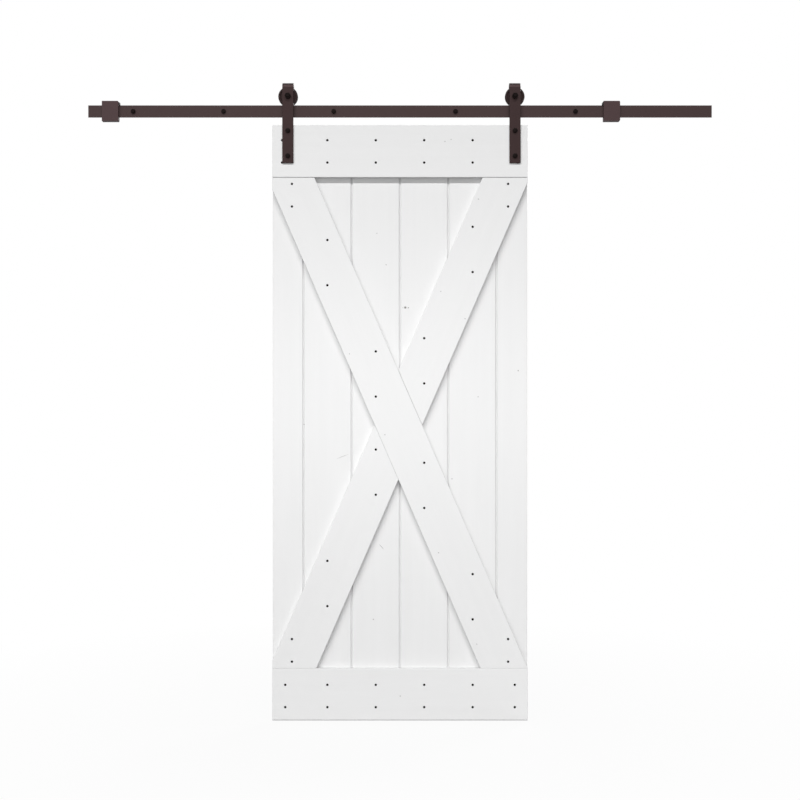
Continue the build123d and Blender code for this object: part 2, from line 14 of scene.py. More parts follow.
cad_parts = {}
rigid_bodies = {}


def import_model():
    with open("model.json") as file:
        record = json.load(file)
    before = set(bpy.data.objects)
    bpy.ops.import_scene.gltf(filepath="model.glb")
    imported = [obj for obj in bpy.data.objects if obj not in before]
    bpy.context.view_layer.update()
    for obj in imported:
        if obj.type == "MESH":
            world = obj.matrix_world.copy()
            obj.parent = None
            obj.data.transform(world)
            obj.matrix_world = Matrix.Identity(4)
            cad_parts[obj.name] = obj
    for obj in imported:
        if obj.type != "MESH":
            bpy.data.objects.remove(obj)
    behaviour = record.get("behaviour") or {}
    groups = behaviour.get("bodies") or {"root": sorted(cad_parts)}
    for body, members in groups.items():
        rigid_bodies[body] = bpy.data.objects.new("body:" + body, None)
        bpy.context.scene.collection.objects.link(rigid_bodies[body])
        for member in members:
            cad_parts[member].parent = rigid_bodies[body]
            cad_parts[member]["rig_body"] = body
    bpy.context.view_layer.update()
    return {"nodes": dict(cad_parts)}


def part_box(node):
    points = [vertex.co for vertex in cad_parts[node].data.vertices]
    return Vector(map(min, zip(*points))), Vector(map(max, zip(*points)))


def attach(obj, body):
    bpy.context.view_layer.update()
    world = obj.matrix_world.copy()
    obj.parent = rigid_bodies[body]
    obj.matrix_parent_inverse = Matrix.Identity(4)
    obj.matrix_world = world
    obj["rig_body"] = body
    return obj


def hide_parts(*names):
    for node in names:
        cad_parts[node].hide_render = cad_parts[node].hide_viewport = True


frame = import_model()

bl_info = {
    "name": "Sliding barn door",
    "version": (1, 0, 0),
    "blender": (4, 5, 0),
    "location": "3D View > Sidebar > Barn door",
    "description": "Finishes an X-braced sliding door, its hangers and its track",
    "category": "Object",
}

mm = 0.001

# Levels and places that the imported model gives
leaf_low, leaf_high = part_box("bottom_rail")[0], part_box("top_rail")[1]
leaf_front = leaf_low.y
plank_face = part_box("plank_1")[0].y
leaf_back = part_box("plank_1")[1].y
track_low, track_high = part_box("track")
track_middle = (track_low.z + track_high.z) / 2
standoff_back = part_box("standoffs")[1].y
wheel_line = (track_low.y + track_high.y) / 2

# Along the track: the lag bolts, from its left end
first_lag_inset = 161.3 * mm
lag_steps = (324.5 * mm, 395.5 * mm, 437.1 * mm, 430.6 * mm)
lag_places = list(accumulate(lag_steps, initial=track_low.x + first_lag_inset))

# Strap bolts, below the top of the leaf
strap_bolt_heights = (leaf_high.z - 20.8 * mm, leaf_high.z - 111.2 * mm)

# Bolts: width across the flats, radii of the shank and of the thread's root, the length of the
# taper at the thread's end and the radius of its tip, and the radius of the nut's bore
Fastener = namedtuple("Fastener", "flats shank root taper tip bore")
strap_fastener = Fastener(16 * mm, 5 * mm, 4.08 * mm, 1 * mm, 4 * mm, 5.05 * mm)
axle_fastener = Fastener(19 * mm, 6 * mm, 4.93 * mm, 1 * mm, 5 * mm, 6.05 * mm)
lag_fastener = Fastener(13 * mm, 4 * mm, 3.1 * mm, 8 * mm, 0.5 * mm, 0)

# The axle's thread starts this far behind its nut
axle_thread_lead = 3 * mm

# Turns that point a fastener's own Z out of the front or the back
facing_turn = pi / 2
backing_turn = -pi / 2

# One turn of a thread, as shares of its pitch
flank_start, crest_start, crest_end = 0.12, 0.46, 0.62

# How near two points are taken as one, on a new piece and on a CAD node's triangles
merge_reach = 0.001 * mm
triangle_reach = 0.002 * mm

# Angles between faces: taken as flat below, smoothed below, and sharp above
flat_below = radians(0.5)
smooth_below = radians(35)
eased_smooth_below = radians(40)
sharp_above = radians(30)
corner_above = radians(25)

# Boards: the lean of the braces and their grain, the top rail's height, the gap under it
# and how near a point lies to draw back for it, the bottom rail's chamfer, and how long
# an edge is that gets eased. On a strap, edges this near its sides are eased.
brace_lean = radians(23.5)
rail_height = 187 * mm
joint_gap = 1.2 * mm
joint_reach = 2.5 * mm
rail_chamfer = 3 * mm
long_edge = 12 * mm
strap_edge_reach = 1.5 * mm

boards_by_grain = {
    "upright": ("plank_1", "plank_2", "plank_3", "plank_4", "plank_5", "plank_6"),
    "level": ("top_rail", "bottom_rail"),
    "long_brace": ("long_brace",),
    "short_brace": ("upper_short_brace", "lower_short_brace"),
}
grain_turns = {"upright": 0, "level": pi / 2, "long_brace": -brace_lean, "short_brace": brace_lean}

# Painted shade: the boards' side faces and the flanks of the grooves take a darker share of the
# paint where shade falls, from the first depth to the second below a face
edge_shade_tones = {"upright": 0.91, "level": 0.72, "long_brace": 0.72, "short_brace": 0.72}
edge_shade_from, edge_shade_to = 0.2 * mm, 0.7 * mm

# Small marks in the paint, given one by one: x, height, half length and half width in mm,
# tilt in degrees, strength
paint_marks = (
    (19, 1481, 5.2, 4.2, 0, 1),
    (10, 1480, 2.2, 1.8, 0, 0.5),
    (30, 1480, 2.8, 2.2, 0, 0.8),
    (233, 1440, 2.8, 2.0, 20, 0.6),
    (-50, 1635, 3.2, 1.8, 60, 0.6),
    (-83, 1748, 2.6, 2.0, 0, 0.5),
    (281, 1868, 3.0, 2.2, 30, 0.55),
    (425, 1254, 2.8, 3.4, 0, 0.6),
    (281, 1160, 2.8, 2.0, 0, 0.55),
    (-54, 1024, 3.0, 2.0, 10, 0.55),
    (-181, 1314, 3.2, 2.0, 70, 0.5),
    (146, 1538, 2.8, 2.0, 0, 0.5),
    (-96, 360, 3.2, 2.2, 0, 0.55),
    (1, 88, 3.0, 2.2, 0, 0.55),
    (275, 274, 2.8, 2.0, 40, 0.5),
    (-345, 1061, 2.8, 2.2, 0, 0.5),
    (187, 865, 3.0, 2.0, 0, 0.5),
    (138, 601, 3.0, 2.2, 15, 0.55),
    (161, 2075, 2.8, 2.0, 0, 0.55),
    (183, 2082, 2.8, 2.0, 0, 0.5),
    (-66.5, 620.5, 13, 1.6, 48, 0.5),
    (-206, 945.5, 24, 1.4, -21, 0.4),
)

# A mark is full inside the first share of its size and gone past the second. Its outline wanders
# by this much, and it only shows on faces in front of this depth.
mark_core, mark_rim = 0.45, 1.15
mark_wander = 2.2 * mm
marks_depth = 10 * mm

# Bare steel on a wheel: the floor of its groove, between two radii
tread_inner, tread_outer = 29 * mm, 31 * mm
tread_half_width = 4.05 * mm

# The warm tone in which each dark finish shines
strap_sheen = (0.88, 0.585, 0.6)
track_sheen = (0.9, 0.72, 0.71)
stop_sheen = (1, 0.8, 0.78)
wheel_sheen = (1, 0.72, 0.7)
black_sheen = (1, 0.75, 0.72)

# Plain finishes
zinc_plate = (0.55, 0.55, 0.56)
bearing_steel = (0.62, 0.62, 0.63)
spring_steel = (0.25, 0.25, 0.26)
tread_steel = (0.46, 0.44, 0.42)
seal_rubber = (0.03, 0.03, 0.03)
bumper_rubber = (0.03, 0.027, 0.026)

# Camera and lights. Each light has its place, the point it looks at, its width and height, the
# setting that holds its power, and the spread of its beam in degrees.
camera_height = 1148.5 * mm
camera_clip = 50
door_middle = (0, 0, 1150 * mm)
lights = (
    ("Key strip", (-2, -27, 29.85), door_middle, (50, 1), "key_power", 180),
    ("Broad fill", (-4, -7.5, 3.5), door_middle, (14, 6), "broad_power", 180),
    ("Front fill", (0, -1.25, 1.2), (0, 0, 1.2), (2.2, 0.6), "fill_power", 90),
    ("Back light", (5, 6, 4.5), door_middle, (3, 3), "back_power", 180),
)

# Floor: it lies a little below the leaf and turns white between two distances from its middle
floor_radius = 3
floor_drop = 12 * mm
floor_greys = (0.36, 0.4)
white_from, white_to = 0.6, 2.4
white_share_near, white_share_far = 0.95, 1


class DoorFinish(bpy.types.PropertyGroup):
    """Colours of the door and its hardware."""

    white_paint: FloatVectorProperty(
        name="White paint",
        description="Paint on every board",
        subtype="COLOR",
        min=0,
        max=1,
        default=(0.9, 0.9, 0.9),
    )
    mark_colour: FloatVectorProperty(
        name="Marks in the paint",
        description="Small knots, dents and scratches that show through the paint",
        subtype="COLOR",
        min=0,
        max=1,
        default=(0.2, 0.19, 0.18),
    )
    strap_bronze: FloatVectorProperty(
        name="Strap bronze",
        description="Powder coat on the two straps",
        subtype="COLOR",
        min=0,
        max=1,
        default=(0.0115, 0.0068, 0.0062),
    )
    track_bronze: FloatVectorProperty(
        name="Track bronze",
        description="Powder coat on the track and the standoffs",
        subtype="COLOR",
        min=0,
        max=1,
        default=(0.0282, 0.0158, 0.0157),
    )
    stop_bronze: FloatVectorProperty(
        name="Stop bronze",
        description="Powder coat on the two stops",
        subtype="COLOR",
        min=0,
        max=1,
        default=(0.037, 0.02, 0.0216),
    )
    wheel_bronze: FloatVectorProperty(
        name="Wheel bronze",
        description="Coat on the wheels, apart from their bare treads",
        subtype="COLOR",
        min=0,
        max=1,
        default=(0.014, 0.008, 0.008),
    )
    fastener_black: FloatVectorProperty(
        name="Fastener black",
        description="Bolts, nuts and wood screws that show in front",
        subtype="COLOR",
        min=0,
        max=1,
        default=(0.0022, 0.0016, 0.0016),
    )


class DoorDetail(bpy.types.PropertyGroup):
    """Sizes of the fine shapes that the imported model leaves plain."""

    board_easing: FloatProperty(
        name="Board easing",
        description="Rounding of the boards' long edges",
        unit="LENGTH",
        min=0.0001,
        max=0.0006,
        default=0.0004,
    )
    strap_easing: FloatProperty(
        name="Strap easing",
        description="Rounding of the straps' edges",
        unit="LENGTH",
        min=0.0001,
        max=0.0005,
        default=0.0003,
    )
    corner_easing: FloatProperty(
        name="Hexagon easing",
        description="Rounding of the edges of heads and nuts",
        unit="LENGTH",
        min=0.00005,
        max=0.0005,
        default=0.0002,
    )
    lag_pitch: FloatProperty(
        name="Lag thread pitch",
        description="Rise of the lag bolts' coarse thread in one turn",
        unit="LENGTH",
        min=0.002,
        max=0.005,
        default=0.0032,
    )
    strap_bolt_pitch: FloatProperty(
        name="Strap bolt pitch",
        description="Rise of the strap bolts' thread in one turn",
        unit="LENGTH",
        min=0.001,
        max=0.002,
        default=0.0015,
    )
    axle_pitch: FloatProperty(
        name="Axle pitch",
        description="Rise of the axles' thread in one turn",
        unit="LENGTH",
        min=0.001,
        max=0.002,
        default=0.00175,
    )
    thread_steps: IntProperty(
        name="Thread steps",
        description="Flats in one turn of a thread",
        min=12,
        max=48,
        default=28,
    )


class DoorStage(bpy.types.PropertyGroup):
    """Camera distance and light levels."""

    camera_distance: FloatProperty(
        name="Camera distance",
        description="From the leaf's front to the camera",
        unit="LENGTH",
        min=3,
        max=9,
        default=5,
    )
    view_width: FloatProperty(
        name="View width",
        description="Width that the camera takes in at the leaf's front",
        unit="LENGTH",
        min=2,
        max=5,
        default=2.8658,
    )
    key_power: FloatProperty(
        name="Key power",
        description="Long strip light above the front",
        unit="POWER",
        min=0,
        default=14200,
    )
    broad_power: FloatProperty(
        name="Broad power",
        description="Large soft light on the front left",
        unit="POWER",
        min=0,
        default=256,
    )
    fill_power: FloatProperty(
        name="Fill power",
        description="Small beam level with the middle of the door",
        unit="POWER",
        min=0,
        default=1.1,
    )
    back_power: FloatProperty(
        name="Back power",
        description="Soft light behind the door",
        unit="POWER",
        min=0,
        default=620,
    )
    world_level: FloatProperty(
        name="World level",
        description="Grey that lights the scene from all round",
        min=0,
        max=1,
        default=0.06,
    )


# Object helpers
def pick_only(*pieces):
    """Deselects everything, then selects these pieces, with the first one active."""
    bpy.ops.object.select_all(action="DESELECT")
    for piece in pieces:
        piece.select_set(True)
    bpy.context.view_layer.objects.active = pieces[0]


def apply_modifier(piece, kind, **settings):
    """Adds a modifier with these settings and applies it."""
    pick_only(piece)
    modifier = piece.modifiers.new(kind.title(), kind)
    for name, value in settings.items():
        setattr(modifier, name, value)
    bpy.ops.object.modifier_apply(modifier=modifier.name)


def carve(piece, tool, operation):
    """Cuts a piece with another one, which is used up."""
    apply_modifier(piece, "BOOLEAN", object=tool, operation=operation, solver="EXACT")
    bpy.data.objects.remove(tool)


def tidy_mesh(piece):
    """Merges doubled points, points the faces outwards and smooths what isn't an edge."""
    pick_only(piece)
    bpy.ops.object.mode_set(mode="EDIT")
    bpy.ops.mesh.select_all(action="SELECT")
    bpy.ops.mesh.remove_doubles(threshold=merge_reach)
    bpy.ops.mesh.normals_make_consistent(inside=False)
    bpy.ops.object.mode_set(mode="OBJECT")
    bpy.ops.object.shade_smooth_by_angle(angle=smooth_below)


def placed_copies(piece, places, turn):
    """Joins a copy at each place into one object, its Z turned to the front or the back."""
    copies = []
    for place in places:
        copy = bpy.data.objects.new(piece.name, piece.data.copy())
        bpy.context.collection.objects.link(copy)
        copy.matrix_world = Matrix.Translation(place) @ Matrix.Rotation(turn, 4, "X")
        copies.append(copy)
    pick_only(*copies)
    bpy.ops.object.transform_apply()
    if len(copies) > 1:
        bpy.ops.object.join()
    bpy.data.objects.remove(piece)
    return bpy.context.object


def stand_in(piece, node_name, material):
    """Lets a finished piece take a CAD node's place, with its body and the given material."""
    node = frame["nodes"][node_name]
    piece.name = f"{node_name}_finished"
    piece.data.materials.clear()
    piece.data.materials.append(material)
    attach(piece, node["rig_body"])
    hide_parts(node_name)


def coat(material, *node_names):
    """Puts a material on CAD nodes that keep their shape."""
    for name in node_names:
        frame["nodes"][name].material_slots[0].material = material


def drawn_line(name, outline):
    """An open line through (across, along) points, drawn point by point in the XZ plane."""
    bpy.ops.object.select_all(action="DESELECT")
    bpy.ops.mesh.primitive_plane_add(size=mm)
    line = bpy.context.object
    line.name = name
    bpy.ops.object.mode_set(mode="EDIT")
    bpy.ops.mesh.select_mode(type="VERT")
    bpy.ops.mesh.select_all(action="SELECT")
    bpy.ops.mesh.merge(type="CENTER")
    bpy.ops.transform.translate(value=(outline[0][0], 0, outline[0][1]))
    for start, end in zip(outline, outline[1:]):
        step = (end[0] - start[0], 0, end[1] - start[1])
        bpy.ops.mesh.extrude_vertices_move(TRANSFORM_OT_translate={"value": step})
    bpy.ops.object.mode_set(mode="OBJECT")
    return line


def turned(name, outline, steps=48):
    """A solid turned about Z from an outline that starts and ends on the axis."""
    solid = drawn_line(name, outline)
    apply_modifier(
        solid,
        "SCREW",
        steps=steps,
        render_steps=steps,
        use_merge_vertices=True,
        merge_threshold=merge_reach,
    )
    tidy_mesh(solid)
    return solid


def cut_off(piece, point, direction):
    """Cuts a piece through a point, drops what lies in the direction and closes the cut."""
    pick_only(piece)
    bpy.ops.object.mode_set(mode="EDIT")
    bpy.ops.mesh.select_all(action="SELECT")
    bpy.ops.mesh.bisect(
        plane_co=point, plane_no=direction, use_fill=True, threshold=merge_reach, clear_outer=True
    )
    bpy.ops.object.mode_set(mode="OBJECT")


def threaded(name, size, pitch, low, high, steps):
    """A screw thread about Z, closed level at both ends."""
    start = low - pitch
    outline = (
        (size.root, start),
        (size.root, start + flank_start * pitch),
        (size.shank, start + crest_start * pitch),
        (size.shank, start + crest_end * pitch),
        (size.root, start + pitch),
    )
    thread = drawn_line(name, outline)
    spare_turns = 4
    turns = int((high - low) / pitch) + spare_turns
    apply_modifier(
        thread, "SCREW", steps=steps, render_steps=steps, screw_offset=pitch, iterations=turns
    )
    tidy_mesh(thread)
    cut_off(thread, (0, 0, low), (0, 0, -1))
    cut_off(thread, (0, 0, high), (0, 0, 1))
    tidy_mesh(thread)
    return thread


def pointed_thread(name, size, pitch, low, high, steps):
    """A thread that ends below in a taper."""
    thread = threaded(name, size, pitch, low - mm, high, steps)
    outside = size.shank + 0.05 * mm
    envelope = (
        (0, low),
        (size.tip, low),
        (outside, low + size.taper),
        (outside, high + mm),
        (0, high + mm),
    )
    carve(thread, turned("thread_envelope", envelope), "INTERSECT")
    tidy_mesh(thread)
    return thread


def hexagon(name, flats, height, easing, bore=0):
    """A head or nut above Z = 0 with its outer corners turned down, bored if a bore is given."""
    bpy.ops.object.select_all(action="DESELECT")
    bpy.ops.mesh.primitive_cylinder_add(
        vertices=6,
        radius=flats / 2 / cos(pi / 6),
        depth=height,
        location=(0, 0, height / 2),
        rotation=(0, 0, pi / 6),
    )
    block = bpy.context.object
    block.name = name
    bpy.ops.object.transform_apply()
    spare = mm
    # The cone runs inwards by twice its rise
    fall = 2
    cone = (
        (0, -spare),
        (flats / 2 + fall * (height + spare), -spare),
        (flats / 2 - fall * spare, height + spare),
        (0, height + spare),
    )
    carve(block, turned("turning_cone", cone, steps=72), "INTERSECT")
    if bore:
        mouth = 0.6 * mm
        spool = (
            (0, -spare),
            (bore + mouth + spare, -spare),
            (bore, mouth),
            (bore, height - mouth),
            (bore + mouth + spare, height + spare),
            (0, height + spare),
        )
        carve(block, turned("bore_tool", spool), "DIFFERENCE")
    apply_modifier(
        block, "BEVEL", width=easing, segments=2, limit_method="ANGLE", angle_limit=corner_above
    )
    tidy_mesh(block)
    return block


def threaded_bolt(name, size, pitch, head_height, grip, reach, detail):
    """Head above Z = 0, plain shank down to the grip and thread down to the reach, as one piece."""
    head = hexagon(f"{name}_head", size.flats, head_height, detail.corner_easing)
    shank_outline = ((0, -grip), (size.shank, -grip), (size.shank, mm), (0, mm))
    shank = turned(f"{name}_shank", shank_outline)
    steps = detail.thread_steps
    thread = pointed_thread(f"{name}_thread", size, pitch, -reach, -grip + mm, steps)
    pick_only(head, shank, thread)
    bpy.ops.object.join()
    whole = bpy.context.object
    whole.name = name
    return whole


def merged_copy(node_name):
    """A copy of a CAD node with its triangles merged back into flat faces."""
    piece = bpy.data.objects.new(node_name, frame["nodes"][node_name].data.copy())
    bpy.context.collection.objects.link(piece)
    pick_only(piece)
    bpy.ops.mesh.customdata_custom_splitnormals_clear()
    bpy.ops.object.mode_set(mode="EDIT")
    bpy.ops.mesh.select_all(action="SELECT")
    bpy.ops.mesh.remove_doubles(threshold=triangle_reach)
    bpy.ops.mesh.dissolve_limited(angle_limit=flat_below)
    bpy.ops.object.mode_set(mode="OBJECT")
    return piece


def ease(piece, width, chosen):
    """Rounds off the sharp edges whose two ends are chosen."""
    pick_only(piece)
    bpy.ops.object.mode_set(mode="EDIT")
    bpy.ops.mesh.select_mode(type="EDGE")
    bpy.ops.mesh.select_all(action="DESELECT")
    bpy.ops.mesh.edges_select_sharp(sharpness=sharp_above)
    bpy.ops.object.mode_set(mode="OBJECT")
    points = piece.data.vertices
    for edge in piece.data.edges:
        if edge.select:
            start, end = (points[index].co for index in edge.vertices)
            edge.select = chosen(start, end)
    bpy.ops.object.mode_set(mode="EDIT")
    bpy.ops.mesh.bevel(
        offset=width, segments=2, affect="EDGES", clamp_overlap=False, loop_slide=False
    )
    bpy.ops.object.mode_set(mode="OBJECT")
    bpy.ops.object.shade_smooth_by_angle(angle=eased_smooth_below)
    apply_modifier(piece, "WEIGHTED_NORMAL", keep_sharp=True)


def shorten_top(piece, level, gap):
    """Draws back the end that meets a joint at a level, so that the joint shows as a dark line."""
    pick_only(piece)
    bpy.ops.object.mode_set(mode="EDIT")
    bpy.ops.mesh.select_mode(type="VERT")
    bpy.ops.mesh.select_all(action="DESELECT")
    bpy.ops.object.mode_set(mode="OBJECT")
    for point in piece.data.vertices:
        point.select = point.co.z > level - joint_reach
    bpy.ops.object.mode_set(mode="EDIT")
    bpy.ops.transform.translate(value=(0, 0, -gap))
    bpy.ops.object.mode_set(mode="OBJECT")


# Material helpers
def add_node(tree, kind, inputs=None, **settings):
    """Adds a node, then sets or links its inputs."""
    node = tree.nodes.new(kind)
    for name, value in settings.items():
        setattr(node, name, value)
    for key, value in (inputs or {}).items():
        if isinstance(value, bpy.types.NodeSocket):
            tree.links.new(value, node.inputs[key])
        else:
            node.inputs[key].default_value = value
    return node


def new_material(name, **shader_values):
    """A material whose shader has its even values set, and the Object coordinates that it reads."""
    material = bpy.data.materials.new(name)
    material.use_nodes = True
    tree = material.node_tree
    shader = tree.nodes["Principled BSDF"]
    for key, value in shader_values.items():
        shader.inputs[key.replace("_", " ")].default_value = value
    place = add_node(tree, "ShaderNodeTexCoord").outputs["Object"]
    return material, tree, shader, place


def noise(tree, vector, scale, detail=3, roughness=0.5):
    """A cloudy pattern, mostly between 0.3 and 0.7."""
    values = {"Vector": vector, "Scale": scale, "Detail": detail, "Roughness": roughness}
    return add_node(tree, "ShaderNodeTexNoise", values).outputs["Fac"]


def combine(tree, operation, *values):
    """A sum, comparison or the like of one to three values."""
    inputs = dict(enumerate(values))
    return add_node(tree, "ShaderNodeMath", inputs, operation=operation).outputs[0]


def combine_vectors(tree, operation, *values):
    """A sum, length or the like of one to three vectors, as the node's outputs."""
    inputs = dict(enumerate(values))
    return add_node(tree, "ShaderNodeVectorMath", inputs, operation=operation).outputs


def mapped(tree, vector, location=(0, 0, 0), rotation=(0, 0, 0), scale=(1, 1, 1)):
    """Moves, turns and stretches the pattern that reads a vector."""
    inputs = {"Vector": vector, "Location": location, "Rotation": rotation, "Scale": scale}
    return add_node(tree, "ShaderNodeMapping", inputs, vector_type="TEXTURE").outputs["Vector"]


def depth_of(tree, vector):
    """How far back a place lies."""
    return add_node(tree, "ShaderNodeSeparateXYZ", {0: vector}).outputs["Y"]


def spread(tree, value, low, high, from_low=0.3, from_high=0.7):
    """Moves a pattern's middle range to the range from low to high."""
    inputs = {
        "Value": value,
        "From Min": from_low,
        "From Max": from_high,
        "To Min": low,
        "To Max": high,
    }
    return add_node(tree, "ShaderNodeMapRange", inputs).outputs["Result"]


def blend(tree, factor, first, second):
    """Mixes two colours.

    The node's colour sockets share their names with others, so a number picks them.
    """
    inputs = {0: factor, 6: first, 7: second}
    return add_node(tree, "ShaderNodeMix", inputs, data_type="RGBA").outputs[2]


def bump(tree, shader, height, distance, strength):
    """Makes a surface rise by the distance where the height goes from 0 to 1."""
    inputs = {"Height": height, "Distance": distance, "Strength": strength}
    node = add_node(tree, "ShaderNodeBump", inputs)
    tree.links.new(node.outputs["Normal"], shader.inputs["Normal"])


def opaque(colour, factor=1):
    """A colour, darkened or lightened by a factor, with full alpha."""
    return (colour[0] * factor, colour[1] * factor, colour[2] * factor, 1)


def grey(level):
    """A neutral colour with full alpha."""
    return (level, level, level, 1)


def marks_group():
    """How strongly a mark shows at a place on the door's front, from 0 to 1."""
    tree = bpy.data.node_groups.new("Marks in the paint", "ShaderNodeTree")
    tree.interface.new_socket("Place", in_out="INPUT", socket_type="NodeSocketVector")
    tree.interface.new_socket("Mark", in_out="OUTPUT", socket_type="NodeSocketFloat")
    place = add_node(tree, "NodeGroupInput").outputs["Place"]
    wander = add_node(tree, "ShaderNodeTexNoise", {"Vector": place, "Scale": 420, "Detail": 2})
    reach = (mark_wander, 0, mark_wander)
    moved = combine_vectors(tree, "MULTIPLY_ADD", wander.outputs["Color"], reach, place)["Vector"]
    flat = combine_vectors(tree, "MULTIPLY", moved, (1, 0, 1))["Vector"]
    shown = None
    for x, height, half_length, half_width, tilt, strength in paint_marks:
        own = mapped(
            tree,
            flat,
            location=(x * mm + mark_wander / 2, 0, height * mm + mark_wander / 2),
            rotation=(0, radians(tilt), 0),
            scale=(half_length * mm, 1, half_width * mm),
        )
        distance = combine_vectors(tree, "LENGTH", own)["Value"]
        mark = spread(tree, distance, strength, 0, mark_core, mark_rim)
        shown = mark if shown is None else combine(tree, "MAXIMUM", shown, mark)
    front = combine(tree, "LESS_THAN", depth_of(tree, place), marks_depth)
    add_node(tree, "NodeGroupOutput", {"Mark": combine(tree, "MULTIPLY", shown, front)})
    return tree


def board_paint(name, turn, edge_shade_tone, finish, marks):
    """White satin paint over fine grain that runs along the board, with painted shade on its side
    faces and in its grooves.
    """
    material, tree, shader, place = new_material(name, Specular_IOR_Level=0.4)
    along = mapped(tree, place, rotation=(0, turn, 0), scale=(1, 1, 22))
    grain = noise(tree, along, 260, detail=5, roughness=0.6)
    cloud = noise(tree, along, 34)
    stipple = noise(tree, place, 620, detail=2)
    mark = add_node(tree, "ShaderNodeGroup", {"Place": place}, node_tree=marks).outputs["Mark"]
    paint = finish.white_paint
    tint = blend(tree, spread(tree, cloud, 0, 1), opaque(paint, 0.985), opaque(paint))
    furrow = spread(tree, grain, 0.05, 0, 0.35, 0.6)
    tint = blend(tree, furrow, tint, opaque(paint, 0.88))
    # Painted shade: away from the front, the plank face and the back, the paint darkens on side
    # faces and groove flanks, where shade falls
    depth = depth_of(tree, place)
    front, face, back = (
        combine(tree, "ABSOLUTE", combine(tree, "SUBTRACT", depth, level))
        for level in (leaf_front, plank_face, leaf_back)
    )
    nearest = combine(tree, "MINIMUM", combine(tree, "MINIMUM", front, face), back)
    edge = spread(tree, nearest, 0, 1, edge_shade_from, edge_shade_to)
    tint = blend(tree, edge, tint, opaque(paint, edge_shade_tone))
    tint = blend(tree, mark, tint, opaque(finish.mark_colour))
    tree.links.new(tint, shader.inputs["Base Color"])
    tree.links.new(spread(tree, cloud, 0.38, 0.5), shader.inputs["Roughness"])
    relief = combine(tree, "MULTIPLY_ADD", grain, 0.7, stipple)
    sunk = combine(tree, "SUBTRACT", relief, mark)
    bump(tree, shader, sunk, distance=0.12 * mm, strength=0.35)
    return material


def powder_coat(name, colour, sheen, roughness=0.42):
    """Fine textured powder coat, a little uneven in tone, that shines in a tone of its own."""
    material, tree, shader, place = new_material(
        name, Specular_IOR_Level=0.36, Specular_Tint=opaque(sheen)
    )
    speck = noise(tree, place, 900, roughness=0.6)
    patch = noise(tree, place, 60)
    tone = combine(tree, "ADD", spread(tree, speck, 0, 0.5), spread(tree, patch, 0, 0.5))
    tint = blend(tree, tone, opaque(colour, 0.9), opaque(colour, 1.12))
    tree.links.new(tint, shader.inputs["Base Color"])
    shine = spread(tree, patch, roughness - 0.05, roughness + 0.07)
    tree.links.new(shine, shader.inputs["Roughness"])
    bump(tree, shader, speck, distance=0.06 * mm, strength=0.5)
    return material


def satin_black(name, colour):
    """Thin black finish on a bolt, nut or screw, with a low warm shine."""
    material, tree, shader, place = new_material(
        name, Specular_IOR_Level=0.09, Specular_Tint=opaque(black_sheen)
    )
    speck = noise(tree, place, 1500, roughness=0.6)
    patch = noise(tree, place, 240, detail=2)
    tint = blend(tree, spread(tree, patch, 0, 1), opaque(colour, 0.85), opaque(colour, 1.3))
    tree.links.new(tint, shader.inputs["Base Color"])
    tree.links.new(spread(tree, speck, 0.26, 0.36), shader.inputs["Roughness"])
    bump(tree, shader, speck, distance=0.015 * mm, strength=0.3)
    return material


def bare_metal(name, colour, roughness, speck_scale):
    """Plated or ground metal, cloudy where the surface varies."""
    material, tree, shader, place = new_material(name, Metallic=1)
    speck = noise(tree, place, speck_scale, detail=4, roughness=0.6)
    cloud = noise(tree, place, speck_scale / 9, detail=2)
    tint = blend(tree, spread(tree, cloud, 0, 1), opaque(colour, 0.88), opaque(colour, 1.08))
    tree.links.new(tint, shader.inputs["Base Color"])
    shine = spread(tree, speck, roughness - 0.05, roughness + 0.08)
    tree.links.new(shine, shader.inputs["Roughness"])
    bump(tree, shader, speck, distance=0.02 * mm, strength=0.4)
    return material


def moulded_rubber(name, colour):
    """Matt rubber with a fine moulded skin."""
    material, tree, shader, place = new_material(name, Specular_IOR_Level=0.3)
    skin = noise(tree, place, 1100, roughness=0.65)
    bloom = noise(tree, place, 130)
    tint = blend(tree, spread(tree, bloom, 0, 1), opaque(colour, 0.85), opaque(colour, 1.35))
    tree.links.new(tint, shader.inputs["Base Color"])
    tree.links.new(spread(tree, bloom, 0.62, 0.78), shader.inputs["Roughness"])
    bump(tree, shader, skin, distance=0.05 * mm, strength=0.5)
    return material


def wheel_coat(name, colour, centre):
    """Turned steel under a dark coat, left bare on the tread by the track."""
    material, tree, shader, place = new_material(
        name, Specular_IOR_Level=0.2, Specular_Tint=opaque(wheel_sheen)
    )
    own = mapped(tree, place, location=centre)
    across = combine_vectors(tree, "MULTIPLY", own, (1, 0, 1))["Vector"]
    radius = combine_vectors(tree, "LENGTH", across)["Value"]
    depth = depth_of(tree, own)
    ring_place = add_node(tree, "ShaderNodeCombineXYZ", {"X": radius, "Y": depth})
    rings = noise(tree, ring_place.outputs["Vector"], 1800, detail=2)
    speck = noise(tree, own, 800, roughness=0.6)
    below_rim = combine(tree, "LESS_THAN", radius, tread_outer)
    off_face = combine(tree, "LESS_THAN", combine(tree, "ABSOLUTE", depth), tread_half_width)
    outside_seat = combine(tree, "GREATER_THAN", radius, tread_inner)
    tread = combine(tree, "MULTIPLY", combine(tree, "MULTIPLY", below_rim, off_face), outside_seat)
    tint = blend(tree, spread(tree, speck, 0, 1), opaque(colour, 0.88), opaque(colour, 1.15))
    tint = blend(tree, tread, tint, opaque(tread_steel))
    tree.links.new(tint, shader.inputs["Base Color"])
    tree.links.new(tread, shader.inputs["Metallic"])
    tree.links.new(spread(tree, rings, 0.36, 0.5), shader.inputs["Roughness"])
    turning = combine(tree, "ADD", rings, speck)
    bump(tree, shader, turning, distance=0.04 * mm, strength=0.5)
    return material


def is_long(start, end):
    """Whether an edge runs along a board, and isn't one of the short ones at a joint."""
    return (end - start).length > long_edge


